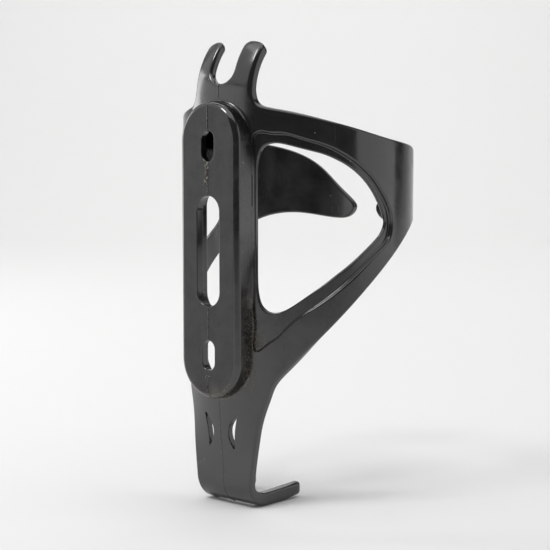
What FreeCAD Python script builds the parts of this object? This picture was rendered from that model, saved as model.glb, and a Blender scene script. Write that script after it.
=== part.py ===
import FreeCAD, Part
import math
import os

import Sketcher
from FreeCAD import Base

Vector = Base.Vector

os.makedirs("parts", exist_ok=True)
doc = FreeCAD.newDocument("bottle_cage")

# ---------------------------------------------------------------------------
# Driving sizes in millimetres and degrees. X right, Y from the bicycle frame
# towards the bottle, Z up. The origin is midway between the two bolt slots,
# on the pad's mounting face.
# ---------------------------------------------------------------------------
SIZES = [
    ("shell_radius", 37.0, "outer radius of the wall that wraps the bottle"),
    ("wall", 2.6, "wall thickness of the moulding"),
    ("pad_stand", 4.75, "pad face to the back of the shell"),
    ("bolt_spacing", 64.0, "between the centres of the two bolt slots"),
    ("bolt_slot_width", 5.3, "M5 clearance"),
    ("bolt_slot_length", 9.3, "end to end"),
    ("head_recess_width", 10.6, "room for an M5 head on the bottle side"),
    ("head_recess_length", 15.0, "lets the head follow the slot"),
    ("bolt_web", 2.4, "material left under a bolt head"),
    ("centre_slot_width", 9.9, "lightening slot between the bolts"),
    ("centre_slot_length", 33.8, "end to end"),
    ("pad_width", 24.0, "pad at its base"),
    ("pad_end", 13.5, "from a bolt slot's centre to the end of the pad"),
    ("pad_edge_round", 1.95, "rounding of the pad's outer edge"),
    ("spine_width", 24.0, "back plate between the two arms"),
    ("spine_window_width", 17.6, "opening in the back plate over the pad"),
    ("spine_window_end", 8.0, "from a bolt slot's centre to the end of that opening"),
    ("spine_rise", 12.2, "upper bolt slot to the top of the back plate"),
    ("spine_fall", 12.0, "lower bolt slot to the bottom of the back plate"),
    ("neck_width", 23.2, "neck and the two ears across"),
    ("neck_straight", 3.8, "length of the neck below the forward curve"),
    ("neck_lean_radius", 25.0, "back surface of the forward curve"),
    ("neck_wall", 3.1, "neck and ear thickness"),
    ("notch_width", 9.4, "between the two ears"),
    ("notch_rise", 2.9, "from the start of the curve to the notch's lowest point"),
    ("ear_rise", 16.2, "from the start of the curve to the top of the ears"),
    ("ear_tip_round", 2.7, "rounding of each ear's tip"),
    ("flare_half_top", 16.4, "half width where the tongue leaves the arms"),
    ("flare_radius", 48.0, "curve from the arms into the tongue"),
    ("tongue_half_bottom", 11.7, "half width of the tongue's lower end"),
    ("tongue_length", 22.0, "from the arms to where the foot's blend starts"),
    ("foot_blend_extra", 0.5, "added to that half width where the foot's blend starts"),
    ("slit_length", 11.6, "height of each crescent slit"),
    ("slit_drop", 1.6, "middle of the slits below the middle of the tongue"),
    ("slit_top_x", 6.9, "upper end of a slit, from the middle"),
    ("slit_bottom_x", 5.4, "lower end of a slit, from the middle"),
    ("slit_inner_radius", 6.9, "edge near the middle"),
    ("slit_outer_radius", 26.0, "edge away from the middle"),
    ("foot_height", 13.8, "from the tongue's end to the underside of the foot"),
    ("foot_reach", 30.9, "pad face to the ends of the foot's prongs"),
    ("foot_width", 22.8, "across both prongs"),
    ("foot_back", 6.2, "back of the flat part above the bend"),
    ("foot_bend_radius", 8.0, "outside of the bend under the tongue"),
    ("foot_inner_round", 4.5, "inside of the bend"),
    ("prong_width", 3.2, "each prong of the foot"),
    ("prong_height", 4.2, "each prong of the foot"),
    ("prong_end_round", 1.2, "rounding of the prong ends"),
    ("prong_gap_start", 11.5, "pad face to the back of the gap between the prongs"),
    ("root_gap", 0.3, "clearance between an arm's root and its neighbours"),
    ("arm_step", 0.3, "an arm's upper edge below the top of the back plate"),
    ("arm_top_side", 34.3, "upper edge of an arm at the side of the bottle"),
    ("arm_top_front", 29.2, "upper edge of an arm where it turns down"),
    ("tip_top", 14.7, "upper edge of the tip"),
    ("tip_bottom", 6.3, "lower edge of the tip"),
    ("tip_angle", 172.8, "end of an arm, degrees round from the back"),
    ("belly", 7.9, "lower edge of the front band"),
    ("arm_low_side", -4.2, "lower edge of an arm at the side of the bottle"),
    ("rim_wall", 1.3, "thickness of the lip round an arm's window"),
    ("lip_top", 2.7, "lip width under the upper member"),
    ("lip_front", 3.2, "lip width at the window's front corner"),
    ("lip_low", 5.2, "lip width over the lower member"),
    ("window_top", 32.9, "upper edge of the window near the back"),
    ("window_bottom", -18.6, "lower edge of the window near the back"),
    ("window_front", 89.6, "front corner of the window, degrees from the back"),
    ("window_front_z", 8.4, "height of the window's front corner"),
]
DERIVED = [
    ("pad_half", "bolt_spacing / 2 + pad_end", "half the pad's height"),
    ("spine_window_half", "bolt_spacing / 2 + spine_window_end", "half that opening's height"),
    ("spine_top", "bolt_spacing / 2 + spine_rise", "where the neck starts"),
    ("spine_bottom", "-bolt_spacing / 2 - spine_fall", "where the tongue starts"),
    ("neck_lean_start", "spine_top + neck_straight", "where the neck starts to lean"),
    ("notch_floor", "neck_lean_start + notch_rise", "lowest point of the notch"),
    ("ear_top", "neck_lean_start + ear_rise", "highest point of the ears"),
    ("tongue_bottom", "spine_bottom - tongue_length", "where the foot's blend starts"),
    ("foot_bottom", "tongue_bottom - foot_height", "underside of the foot"),
    (
        "slit_top",
        "spine_bottom - tongue_length / 2 - slit_drop + slit_length / 2",
        "upper end of the slits",
    ),
    ("slit_bottom", "slit_top - slit_length", "lower end of the slits"),
    ("arm_top_root", "spine_top - arm_step", "upper edge of an arm at its root"),
]
sheet = doc.addObject("Spreadsheet::Sheet", "Sizes")
rows = SIZES + [(alias, f"={formula}", note) for alias, formula, note in DERIVED]
for row, (alias, value, note) in enumerate(rows, start=1):
    sheet.set(f"A{row}", note)
    sheet.set(f"B{row}", str(value))
    sheet.setAlias(f"B{row}", alias)
doc.recompute()


def size(alias):
    return float(sheet.get(alias))


AXIS_Y = "(Sizes.pad_stand + Sizes.shell_radius)"  # the bottle's axis
axis_y = size("pad_stand") + size("shell_radius")
BEYOND = 200.0  # longer than the whole part, for cuts that go right through


# ---------------------------------------------------------------------------
# Helpers for bodies and sketches
# ---------------------------------------------------------------------------
def new_body(label):
    body = doc.addObject("PartDesign::Body", label)
    body.Label = label
    return body


def new_sketch(body, name, role, shift=None):
    """A sketch on one of the body's own origin planes, moved along its normal."""
    plane = next(o for o in body.Origin.OriginFeatures if o.Role == role)
    sketch = body.newObject("Sketcher::SketchObject", name)
    sketch.AttachmentSupport = [(plane, "")]
    sketch.MapMode = "FlatFace"
    if shift:
        sketch.setExpression("AttachmentOffset.Base.z", shift)
    return sketch


def bind(sketch, kind, where, value, expression):
    """A dimension tied to the sheet. value is the starting size."""
    index = sketch.addConstraint(Sketcher.Constraint(kind, *where, value))
    sketch.setExpression(f"Constraints[{index}]", expression)


def evaluate(expression):
    """The number an expression of sheet names stands for."""
    return float(sheet.evalExpression(expression.replace("Sizes.", "")))


def polygon(sketch, corners):
    """A closed polygon with each corner given as two expressions."""
    points = [Vector(evaluate(x), evaluate(y), 0) for x, y in corners]
    count = len(points)
    for i in range(count):
        sketch.addGeometry(Part.LineSegment(points[i], points[(i + 1) % count]), False)
    for i in range(count):
        sketch.addConstraint(Sketcher.Constraint("Coincident", i, 2, (i + 1) % count, 1))
        for kind, number, text, axis in (
            ("DistanceX", points[i].x, corners[i][0], -2),
            ("DistanceY", points[i].y, corners[i][1], -1),
        ):
            if abs(number) < 1e-9:
                sketch.addConstraint(Sketcher.Constraint("PointOnObject", i, 1, axis))
            else:
                bind(sketch, kind, (-1, 1, i, 1), number, text)


def stadium(sketch, width, low, high):
    """An upright slot on the sketch's vertical axis, between two heights."""
    r, z0, z1 = evaluate(width) / 2, evaluate(low), evaluate(high)
    top, bottom = Vector(0, z1 - r, 0), Vector(0, z0 + r, 0)
    up = Vector(0, 0, 1)
    side = Vector(r, 0, 0)
    right = sketch.addGeometry(Part.LineSegment(bottom + side, top + side), False)
    cap = sketch.addGeometry(Part.ArcOfCircle(Part.Circle(top, up, r), 0, math.pi), False)
    left = sketch.addGeometry(Part.LineSegment(top - side, bottom - side), False)
    base = sketch.addGeometry(
        Part.ArcOfCircle(Part.Circle(bottom, up, r), math.pi, 2 * math.pi), False
    )
    for a, b in ((right, cap), (cap, left), (left, base), (base, right)):
        sketch.addConstraint(Sketcher.Constraint("Tangent", a, 2, b, 1))
    for arc in (cap, base):
        sketch.addConstraint(Sketcher.Constraint("PointOnObject", arc, 3, -2))
    sketch.addConstraint(Sketcher.Constraint("Equal", cap, base))
    bind(sketch, "Radius", (cap,), r, f"({width}) / 2")
    bind(sketch, "DistanceY", (-1, 1, cap, 3), top.y, f"({high}) - ({width}) / 2")
    bind(sketch, "DistanceY", (-1, 1, base, 3), bottom.y, f"({low}) + ({width}) / 2")


def wall_section(sketch, half_width, thickness):
    """A slice of the shell's round wall in plan, cut off by two upright sides."""
    half, t = evaluate(half_width), evaluate(thickness)
    outer = size("shell_radius")
    inner = outer - t
    centre, up = Vector(0, axis_y, 0), Vector(0, 0, 1)

    def arc(radius):
        reach = math.asin(half / radius)
        down = 1.5 * math.pi
        return Part.ArcOfCircle(Part.Circle(centre, up, radius), down - reach, down + reach)

    a = sketch.addGeometry(arc(outer), False)
    b = sketch.addGeometry(arc(inner), False)
    ends = [sketch.getPoint(g, p) for g, p in ((a, 2), (b, 2), (b, 1), (a, 1))]
    c = sketch.addGeometry(Part.LineSegment(ends[0], ends[1]), False)
    d = sketch.addGeometry(Part.LineSegment(ends[2], ends[3]), False)
    for one, two in (((a, 2), (c, 1)), ((c, 2), (b, 2)), ((b, 1), (d, 1)), ((d, 2), (a, 1))):
        sketch.addConstraint(Sketcher.Constraint("Coincident", *one, *two))
    sketch.addConstraint(Sketcher.Constraint("Coincident", a, 3, b, 3))
    sketch.addConstraint(Sketcher.Constraint("PointOnObject", a, 3, -2))
    bind(sketch, "DistanceY", (-1, 1, a, 3), axis_y, AXIS_Y)
    bind(sketch, "Radius", (a,), outer, "Sizes.shell_radius")
    bind(sketch, "Radius", (b,), inner, f"Sizes.shell_radius - ({thickness})")
    for line in (c, d):
        sketch.addConstraint(Sketcher.Constraint("Vertical", line))
    bind(sketch, "DistanceX", (-1, 1, c, 1), half, half_width)
    bind(sketch, "DistanceX", (-1, 1, d, 1), -half, f"-({half_width})")


def pad(body, name, sketch, length, reverse=False, symmetric=False):
    feature = body.newObject("PartDesign::Pad", name)
    feature.Profile = sketch
    feature.setExpression("Length", length)
    feature.Reversed = reverse
    feature.Midplane = symmetric
    doc.recompute()
    return feature


def pocket(body, name, sketch, symmetric=False, reverse=False):
    """A cut right through; its volume is compared so a cut that misses is noticed."""
    before = body.Shape.Volume
    feature = body.newObject("PartDesign::Pocket", name)
    feature.Profile = sketch
    feature.Length = BEYOND
    feature.Midplane = symmetric
    feature.Reversed = reverse
    doc.recompute()
    if body.Shape.Volume > before - 1e-3:
        raise RuntimeError(f"{name} removed nothing")
    return feature


def fillet(body, name, radius, chosen):
    """Round the edges of the body's tip that the chosen test picks."""
    base = body.Tip
    names = [f"Edge{i}" for i, e in enumerate(base.Shape.Edges, start=1) if chosen(e)]
    if not names:
        raise RuntimeError(f"{name} found no edge")
    feature = body.newObject("PartDesign::Fillet", name)
    feature.Base = (base, names)
    feature.setExpression("Radius", radius)
    doc.recompute()
    return feature


# ---------------------------------------------------------------------------
# Mounting pad: a long rounded block between the bicycle frame and the shell
# ---------------------------------------------------------------------------
pad_body = new_body("mounting_pad")
outline = new_sketch(pad_body, "PadOutline", "XZ_Plane")
stadium(outline, "Sizes.pad_width", "-Sizes.pad_half", "Sizes.pad_half")
pad(pad_body, "PadBlock", outline, "Sizes.pad_stand + Sizes.pad_width / 4", reverse=True)
hollow = new_sketch(pad_body, "PadSeat", "XY_Plane")
ring = hollow.addGeometry(
    Part.Circle(Vector(0, axis_y, 0), Vector(0, 0, 1), size("shell_radius")), False
)
hollow.addConstraint(Sketcher.Constraint("PointOnObject", ring, 3, -2))
bind(hollow, "DistanceY", (-1, 1, ring, 3), axis_y, AXIS_Y)
bind(hollow, "Radius", (ring,), size("shell_radius"), "Sizes.shell_radius")
pocket(pad_body, "PadSeatCut", hollow, symmetric=True)
fillet(pad_body, "PadEdgeRound", "Sizes.pad_edge_round", lambda e: e.BoundBox.YMax < 1e-6)
slots = new_sketch(pad_body, "CentreSlot", "XZ_Plane")
stadium(
    slots, "Sizes.centre_slot_width", "-Sizes.centre_slot_length / 2", "Sizes.centre_slot_length / 2"
)
pocket(pad_body, "CentreSlotCut", slots)
for side, sign in (("Upper", "1"), ("Lower", "-1")):
    middle = f"({sign}) * Sizes.bolt_spacing / 2"
    slot = new_sketch(pad_body, f"{side}BoltSlot", "XZ_Plane")
    stadium(
        slot,
        "Sizes.bolt_slot_width",
        f"{middle} - Sizes.bolt_slot_length / 2",
        f"{middle} + Sizes.bolt_slot_length / 2",
    )
    pocket(pad_body, f"{side}BoltSlotCut", slot)
    recess = new_sketch(pad_body, f"{side}HeadRecess", "XZ_Plane", "-Sizes.bolt_web")
    stadium(
        recess,
        "Sizes.head_recess_width",
        f"{middle} - Sizes.head_recess_length / 2",
        f"{middle} + Sizes.head_recess_length / 2",
    )
    pocket(pad_body, f"{side}HeadRecessCut", recess)

# ---------------------------------------------------------------------------
# Spine plate: the slice of the shell behind the bottle that carries the pad
# ---------------------------------------------------------------------------
spine = new_body("spine_plate")
section = new_sketch(spine, "SpineSection", "XY_Plane", "Sizes.spine_bottom")
wall_section(section, "Sizes.spine_width / 2", "Sizes.wall")
pad(spine, "SpineBlock", section, "Sizes.spine_top - Sizes.spine_bottom")
opening = new_sketch(spine, "SpineWindow", "XZ_Plane")
stadium(opening, "Sizes.spine_window_width", "-Sizes.spine_window_half", "Sizes.spine_window_half")
pocket(spine, "SpineWindowCut", opening)

# ---------------------------------------------------------------------------
# Neck fork: the top of the plate, leaning forward, ending in two ears
# ---------------------------------------------------------------------------
LEAN_SWEEP = 60.0  # degrees turned before the ears are cut to height
neck = new_body("neck_fork")
section = new_sketch(neck, "NeckSection", "XY_Plane", "Sizes.neck_lean_start")
wall_section(section, "Sizes.neck_width / 2", "Sizes.neck_wall")
pad(neck, "NeckStraight", section, "Sizes.neck_lean_start - Sizes.spine_top", reverse=True)
curve = new_sketch(neck, "NeckLeanSection", "XY_Plane", "Sizes.neck_lean_start")
wall_section(curve, "Sizes.neck_width / 2", "Sizes.neck_wall")
lean_y = size("pad_stand") + size("neck_lean_radius")
half_neck = size("neck_width") / 2
hinge_line = curve.addGeometry(
    Part.LineSegment(Vector(-half_neck, lean_y, 0), Vector(half_neck, lean_y, 0)), True
)
curve.addConstraint(Sketcher.Constraint("Horizontal", hinge_line))
bind(
    curve, "DistanceY", (-1, 1, hinge_line, 1), lean_y, "Sizes.pad_stand + Sizes.neck_lean_radius"
)
bind(curve, "DistanceX", (-1, 1, hinge_line, 1), -half_neck, "-Sizes.neck_width / 2")
bind(curve, "DistanceX", (-1, 1, hinge_line, 2), half_neck, "Sizes.neck_width / 2")
lean = neck.newObject("PartDesign::Revolution", "NeckLean")
lean.Profile = curve
lean.ReferenceAxis = (curve, ["Axis0"])
lean.Angle = LEAN_SWEEP
doc.recompute()
if neck.Shape.BoundBox.ZMax < size("ear_top"):
    lean.Reversed = True
    doc.recompute()
notch = new_sketch(neck, "EarNotch", "XZ_Plane")
stadium(notch, "Sizes.notch_width", "Sizes.notch_floor", "Sizes.ear_top + Sizes.notch_width * 4")
pocket(neck, "EarNotchCut", notch)
crop = new_sketch(neck, "EarTops", "XZ_Plane")
polygon(
    crop,
    [
        ("-Sizes.neck_width", "Sizes.ear_top"),
        ("Sizes.neck_width", "Sizes.ear_top"),
        ("Sizes.neck_width", "Sizes.ear_top * 2"),
        ("-Sizes.neck_width", "Sizes.ear_top * 2"),
    ],
)
pocket(neck, "EarTopsCut", crop)


def ear_corner(edge):
    box = edge.BoundBox
    flat = box.XLength < 1e-4 and abs(box.ZMax - size("ear_top")) < 1e-4
    return flat and box.ZLength < 1e-4


fillet(neck, "EarTipRound", "Sizes.ear_tip_round", ear_corner)

# ---------------------------------------------------------------------------
# Tongue: the plate below the arms, narrowing to the foot, with two slits
# ---------------------------------------------------------------------------
tongue = new_body("tongue")
section = new_sketch(tongue, "TongueSection", "XY_Plane", "Sizes.tongue_bottom")
wall_section(section, "Sizes.flare_half_top", "Sizes.wall")
pad(tongue, "TongueBlock", section, "Sizes.spine_bottom - Sizes.tongue_bottom")
flare = new_sketch(tongue, "TongueFlare", "XZ_Plane")
top = Vector(size("flare_half_top"), size("spine_bottom"), 0)
end = Vector(size("tongue_half_bottom"), size("foot_bottom"), 0)
radius = size("flare_radius")
span = end - top
# The flare starts as an arc and runs on as a straight line tangent to it. These are
# only the arc's starting points; its radius and the tangent line settle its place.
low = top + span * 0.48 - Vector(1.6, 0, 0)
mid = (top + low) * 0.5 - Vector(0.8, -0.3, 0)
bend = flare.addGeometry(Part.Arc(top, mid, low), False)
run = flare.addGeometry(Part.LineSegment(low, end), False)
far = 1.6 * top.x  # clear of the tongue's side
corners = [end, Vector(far, end.y, 0), Vector(far, top.y, 0), top]
frame_lines = [
    flare.addGeometry(Part.LineSegment(corners[i], corners[i + 1]), False) for i in range(3)
]


def end_at(geometry, point):
    """Which end of a sketch edge lies at the point."""
    return 1 if flare.getPoint(geometry, 1).distanceToPoint(point) < 1e-6 else 2


bend_top, bend_low = end_at(bend, top), end_at(bend, low)
flare.addConstraint(Sketcher.Constraint("Tangent", bend, bend_low, run, 1))
flare.addConstraint(Sketcher.Constraint("Coincident", run, 2, frame_lines[0], 1))
flare.addConstraint(Sketcher.Constraint("Coincident", frame_lines[0], 2, frame_lines[1], 1))
flare.addConstraint(Sketcher.Constraint("Coincident", frame_lines[1], 2, frame_lines[2], 1))
flare.addConstraint(Sketcher.Constraint("Coincident", frame_lines[2], 2, bend, bend_top))
flare.addConstraint(Sketcher.Constraint("Horizontal", frame_lines[0]))
flare.addConstraint(Sketcher.Constraint("Vertical", frame_lines[1]))
flare.addConstraint(Sketcher.Constraint("Horizontal", frame_lines[2]))
bind(flare, "DistanceX", (-1, 1, bend, bend_top), top.x, "Sizes.flare_half_top")
bind(flare, "DistanceY", (-1, 1, bend, bend_top), top.y, "Sizes.spine_bottom")
bind(flare, "DistanceX", (-1, 1, run, 2), end.x, "Sizes.tongue_half_bottom")
bind(flare, "DistanceY", (-1, 1, run, 2), end.y, "Sizes.foot_bottom")
bind(flare, "DistanceX", (-1, 1, frame_lines[1], 1), far, "Sizes.flare_half_top * 1.6")
bind(flare, "Radius", (bend,), radius, "Sizes.flare_radius")
cut = pocket(tongue, "TongueFlareCut", flare)
slit = new_sketch(tongue, "TongueSlit", "XZ_Plane")
upper = Vector(size("slit_top_x"), size("slit_top"), 0)
lower = Vector(size("slit_bottom_x"), size("slit_bottom"), 0)
half = (upper - lower).Length / 2
middle = (upper + lower) * 0.5
towards = Vector(-(upper.y - lower.y), upper.x - lower.x, 0).normalize()
arcs = []
for alias in ("slit_inner_radius", "slit_outer_radius"):
    r = size(alias)
    rise = r - math.sqrt(r * r - half * half)
    arcs.append(slit.addGeometry(Part.Arc(upper, middle + towards * rise, lower), False))
for geometry in arcs:
    for point, xs, zs in (
        (upper, "Sizes.slit_top_x", "Sizes.slit_top"),
        (lower, "Sizes.slit_bottom_x", "Sizes.slit_bottom"),
    ):
        close = slit.getPoint(geometry, 1).distanceToPoint(point) < 1e-6
        which = 1 if close else 2
        bind(slit, "DistanceX", (-1, 1, geometry, which), point.x, xs)
        bind(slit, "DistanceY", (-1, 1, geometry, which), point.y, zs)
bind(slit, "Radius", (arcs[0],), size("slit_inner_radius"), "Sizes.slit_inner_radius")
bind(slit, "Radius", (arcs[1],), size("slit_outer_radius"), "Sizes.slit_outer_radius")
slit_cut = pocket(tongue, "TongueSlitCut", slit)
both = tongue.newObject("PartDesign::Mirrored", "TongueBothSides")
both.Originals = [cut, slit_cut]
both.MirrorPlane = (
    next(o for o in tongue.Origin.OriginFeatures if o.Role == "YZ_Plane"),
    [""],
)
tongue.Tip = both
doc.recompute()

# ---------------------------------------------------------------------------
# Foot fork: the bend under the tongue and two prongs for the bottle's base
# ---------------------------------------------------------------------------
foot = new_body("foot_fork")
profile = new_sketch(foot, "FootProfile", "YZ_Plane")
flat_top = "Sizes.foot_bottom + Sizes.foot_bend_radius + Sizes.wall"
polygon(
    profile,
    [
        ("Sizes.foot_back", flat_top),
        ("Sizes.foot_back", "Sizes.foot_bottom"),
        ("Sizes.foot_reach", "Sizes.foot_bottom"),
        ("Sizes.foot_reach", "Sizes.foot_bottom + Sizes.prong_height"),
        ("Sizes.foot_back + Sizes.wall", "Sizes.foot_bottom + Sizes.prong_height"),
        ("Sizes.foot_back + Sizes.wall", flat_top),
    ],
)
pad(foot, "FootBlock", profile, "Sizes.foot_width", symmetric=True)


def along_x(edge, y, z):
    box = edge.BoundBox
    level = box.YLength < 1e-4 and box.ZLength < 1e-4
    return level and abs(box.YMin - y) < 1e-4 and abs(box.ZMin - z) < 1e-4


foot_low, foot_high = size("foot_bottom"), size("foot_bottom") + size("prong_height")
fillet(
    foot,
    "FootBend",
    "Sizes.foot_bend_radius",
    lambda e: along_x(e, size("foot_back"), foot_low),
)
fillet(
    foot,
    "FootInside",
    "Sizes.foot_inner_round",
    lambda e: along_x(e, size("foot_back") + size("wall"), foot_high),
)
fillet(
    foot,
    "ProngEnds",
    "Sizes.prong_end_round",
    lambda e: along_x(e, size("foot_reach"), foot_low) or along_x(e, size("foot_reach"), foot_high),
)
gap = new_sketch(foot, "ProngGap", "XY_Plane", "Sizes.foot_bottom - Sizes.wall")
inside = "(Sizes.foot_width / 2 - Sizes.prong_width)"
polygon(
    gap,
    [
        (f"-{inside}", "Sizes.prong_gap_start"),
        (inside, "Sizes.prong_gap_start"),
        (inside, "Sizes.foot_reach * 2"),
        (f"-{inside}", "Sizes.foot_reach * 2"),
    ],
)
pocket(foot, "ProngGapCut", gap, reverse=True)
upper_end = new_sketch(foot, "BlendTop", "XY_Plane", "Sizes.tongue_bottom")
lower_end = new_sketch(foot, "BlendBottom", "XY_Plane", flat_top)
wall_section(upper_end, "Sizes.tongue_half_bottom + Sizes.foot_blend_extra", "Sizes.wall")
polygon(
    lower_end,
    [
        ("-Sizes.foot_width / 2", "Sizes.foot_back"),
        ("Sizes.foot_width / 2", "Sizes.foot_back"),
        ("Sizes.foot_width / 2", "Sizes.foot_back + Sizes.wall"),
        ("-Sizes.foot_width / 2", "Sizes.foot_back + Sizes.wall"),
    ],
)
blend = foot.newObject("PartDesign::AdditiveLoft", "FootBlend")
blend.Profile = upper_end
blend.Sections = [lower_end]
blend.Ruled = True
doc.recompute()


# ---------------------------------------------------------------------------
# Arms: plates laid on the shell's round wall from outlines in (angle, height).
# Sketch features can't follow a round wall, so these shapes are computed.
# ---------------------------------------------------------------------------
FLAT_UNTIL, ROUND_FROM = 30.0, 62.0  # degrees over which the side faces turn radial
REACH = 1.5  # how far a cutting plate runs past both faces of the wall


def wall_angle(angle, radius):
    """Where a line of the outline meets a radius. Near the back the cut runs along Y."""
    a = math.radians(angle)
    fade = min(1.0, max(0.0, (ROUND_FROM - angle) / (ROUND_FROM - FLAT_UNTIL)))
    fade = fade * fade * (3 - 2 * fade)
    if fade > 0:
        sideways = size("shell_radius") * math.sin(a) / radius
        a += fade * (math.asin(min(1.0, sideways)) - a)
    return a


def flat_line(first, second, steps=10):
    return [
        (first[0] + (second[0] - first[0]) * i / steps, first[1] + (second[1] - first[1]) * i / steps)
        for i in range(steps + 1)
    ]


def smooth(stations, steps=3):
    """Points on one smooth curve through the stations, spaced by length on the wall."""
    per_degree = math.radians(size("shell_radius"))
    curve = Part.BSplineCurve()
    curve.interpolate([Vector(a * per_degree, z, 0) for a, z in stations])
    points = curve.discretize(steps * (len(stations) - 1) + 1)
    return [(p.x / per_degree, p.y) for p in points]


def curve_on(surface, radius, line):
    """A line of the outline laid on a cylinder, with evenly spaced parameters."""
    count = len(line) - 1
    flat = Part.BSplineCurve()
    flat.interpolate(
        Points=[Vector(wall_angle(a, radius), z, 0) for a, z in line],
        Parameters=[i / count for i in range(count + 1)],
    )
    curve = Part.Geom2d.BSplineCurve2d()
    curve.buildFromPolesMultsKnots(
        [Base.Vector2d(p.x, p.y) for p in flat.getPoles()],
        flat.getMultiplicities(),
        flat.getKnots(),
        False,
        flat.Degree,
    )
    return curve.toShape(surface)


def wall_plate(loop, r_in, r_out):
    """A solid of the right-hand wall between two radii, bounded by a loop of curves."""
    layers = []
    for radius in (r_in, r_out):
        surface = Part.Cylinder()
        surface.Radius = radius
        turn = FreeCAD.Placement(Vector(0, axis_y, 0), FreeCAD.Rotation(Vector(0, 0, 1), -90))
        surface.transform(turn.toMatrix())
        layers.append((surface, [curve_on(surface, radius, line) for line in loop]))
    faces = [Part.makeRuledSurface(i, o) for i, o in zip(layers[0][1], layers[1][1])]
    faces += [Part.Face(surface, Part.Wire(edges)) for surface, edges in layers]
    shell = Part.Shell(faces)
    shell.sewShape()
    shell.fix(1e-4, 1e-4, 1e-4)
    solid = Part.Solid(Part.Shell(shell.Faces))
    solid.fix(1e-4, 1e-4, 1e-4)
    if solid.Volume < 0:
        solid.reverse()
    if not solid.isValid():
        raise RuntimeError("a wall plate isn't valid")
    return solid


r_out = size("shell_radius")
r_in = r_out - size("wall")
BACK = 10.0  # degrees; the outlines start behind the root, which is then cut straight
tip = size("tip_angle")
tip_middle = (size("tip_top") + size("tip_bottom")) / 2
drop = size("arm_low_side") - size("spine_bottom") - size("root_gap")
root_low = size("spine_bottom") + size("root_gap")
low_root_angle = math.degrees(math.asin(size("flare_half_top") / r_out))
top_root, top_side = size("arm_top_root"), size("arm_top_side")
top_front, tip_top = size("arm_top_front"), size("tip_top")
arm_edge = [
    (BACK, top_root + size("arm_step")),
    (42, top_side + 0.76 * (top_root - top_side)),
    (66, top_side + 0.39 * (top_root - top_side)),
    (90, top_side),
    (115, (top_side + top_front) / 2 + 0.2),
    (tip - 38, top_front),
    (tip - 23, tip_top + 0.66 * (top_front - tip_top)),
    (tip - 11, tip_top + 0.2 * (top_front - tip_top)),
    (tip - 3.2, tip_middle + 0.75 * (tip_top - tip_middle)),
    (tip, tip_middle),
    (tip - 3.2, tip_middle + 0.75 * (size("tip_bottom") - tip_middle)),
    (tip - 11, size("tip_bottom")),
    (tip - 33, size("belly")),
    (118, size("belly") - 1.3),
    (100, size("arm_low_side") + 0.115 * drop),
    (86, size("arm_low_side") - 0.053 * drop),
    (70, root_low + 0.722 * drop),
    (57, root_low + 0.524 * drop),
    (45, root_low + 0.35 * drop),
    (34.5, root_low + 0.185 * drop),
    (low_root_angle + 1.9, root_low + 0.055 * drop),
    (low_root_angle + 0.1, root_low),
]
arm_loop = [
    smooth(arm_edge),
    flat_line(arm_edge[-1], (BACK, root_low)),
    flat_line((BACK, root_low), arm_edge[0]),
]

# The window as fractions of its length round the wall and of its height.
front, low_z = size("window_front"), size("window_bottom")
high_z, front_z = size("window_top"), size("window_front_z")
rise, fall = high_z - front_z, front_z - low_z
window_upper = [
    (0.14, 0.52), (0.218, 0.81), (0.252, 0.935), (0.30, 0.99), (0.37, 0.98), (0.46, 0.928),
    (0.60, 0.851), (0.735, 0.72), (0.85, 0.53), (0.94, 0.26), (0.99, 0.065),
]
window_lower = [
    (0.982, 0.09), (0.915, 0.215), (0.79, 0.401), (0.64, 0.611), (0.506, 0.778), (0.407, 0.913),
    (0.34, 0.99), (0.29, 0.975), (0.251, 0.895), (0.218, 0.77), (0.14, 0.48),
]


def window_outline(lip_top, lip_low, lip_front):
    """The window's edge, or with lips the larger outline where the outer face stops."""
    far = lip_front / math.radians(r_out)
    points = []
    for along, up in window_upper:
        lip = lip_top[0] + (lip_top[1] - lip_top[0]) * along
        points.append((along * front + far * along**4, front_z + up * rise + lip))
    points.append((front + far, front_z))
    for along, down in window_lower:
        lip = lip_low[0] + (lip_low[1] - lip_low[0]) * along
        points.append((along * front + far * along**4, front_z - down * fall - lip))
    return points


def window_loop(points):
    return [smooth(points), flat_line(points[-1], points[0])]


window_edge = window_outline((0, 0), (0, 0), 0)
lip_top, lip_low = size("lip_top"), size("lip_low")
face_edge = window_outline((lip_top, 1.6 * lip_top), (1.55 * lip_low, 0.5 * lip_low), size("lip_front"))
# near the back the outer face's edge runs on straight instead of turning the corner
face_edge = (
    [(BACK, top_root - 7.2), (26, top_root - 8.5)]
    + [p for p in face_edge if p[0] > 36]
    + [(24.2, low_z - 9.5), (BACK, low_z - 12.8)]
)

plate = wall_plate(arm_loop, r_in, r_out)
face_cut = wall_plate(window_loop(face_edge), r_in - REACH, r_out + REACH)
window_cut = wall_plate(window_loop(window_edge), r_in - REACH, r_out + REACH)
lip_plate = wall_plate(window_loop(face_edge), r_in, r_in + size("rim_wall"))
root_x = size("spine_width") / 2 + size("root_gap")
inboard = Part.makeBox(root_x + BEYOND, BEYOND, BEYOND, Vector(-BEYOND, axis_y - BEYOND, -BEYOND / 2))

arm_shape = plate.cut(face_cut).cut(inboard)
rim_shape = lip_plate.cut(window_cut).cut(inboard)
right_parts = []
for label, shape in (("right_arm", arm_shape), ("right_window_rim", rim_shape)):
    feature = doc.addObject("Part::Feature", label)
    feature.Label = label
    feature.Shape = max(shape.Solids, key=lambda s: s.Volume)
    feature.Placement = FreeCAD.Placement()
    right_parts.append(feature)
left_parts = []
for source in right_parts:
    label = source.Label.replace("right", "left")
    mirror = doc.addObject("Part::Mirroring", label)
    mirror.Label = label
    mirror.Source = source
    mirror.Normal = Vector(1, 0, 0)
    left_parts.append(mirror)
doc.recompute()

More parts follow.
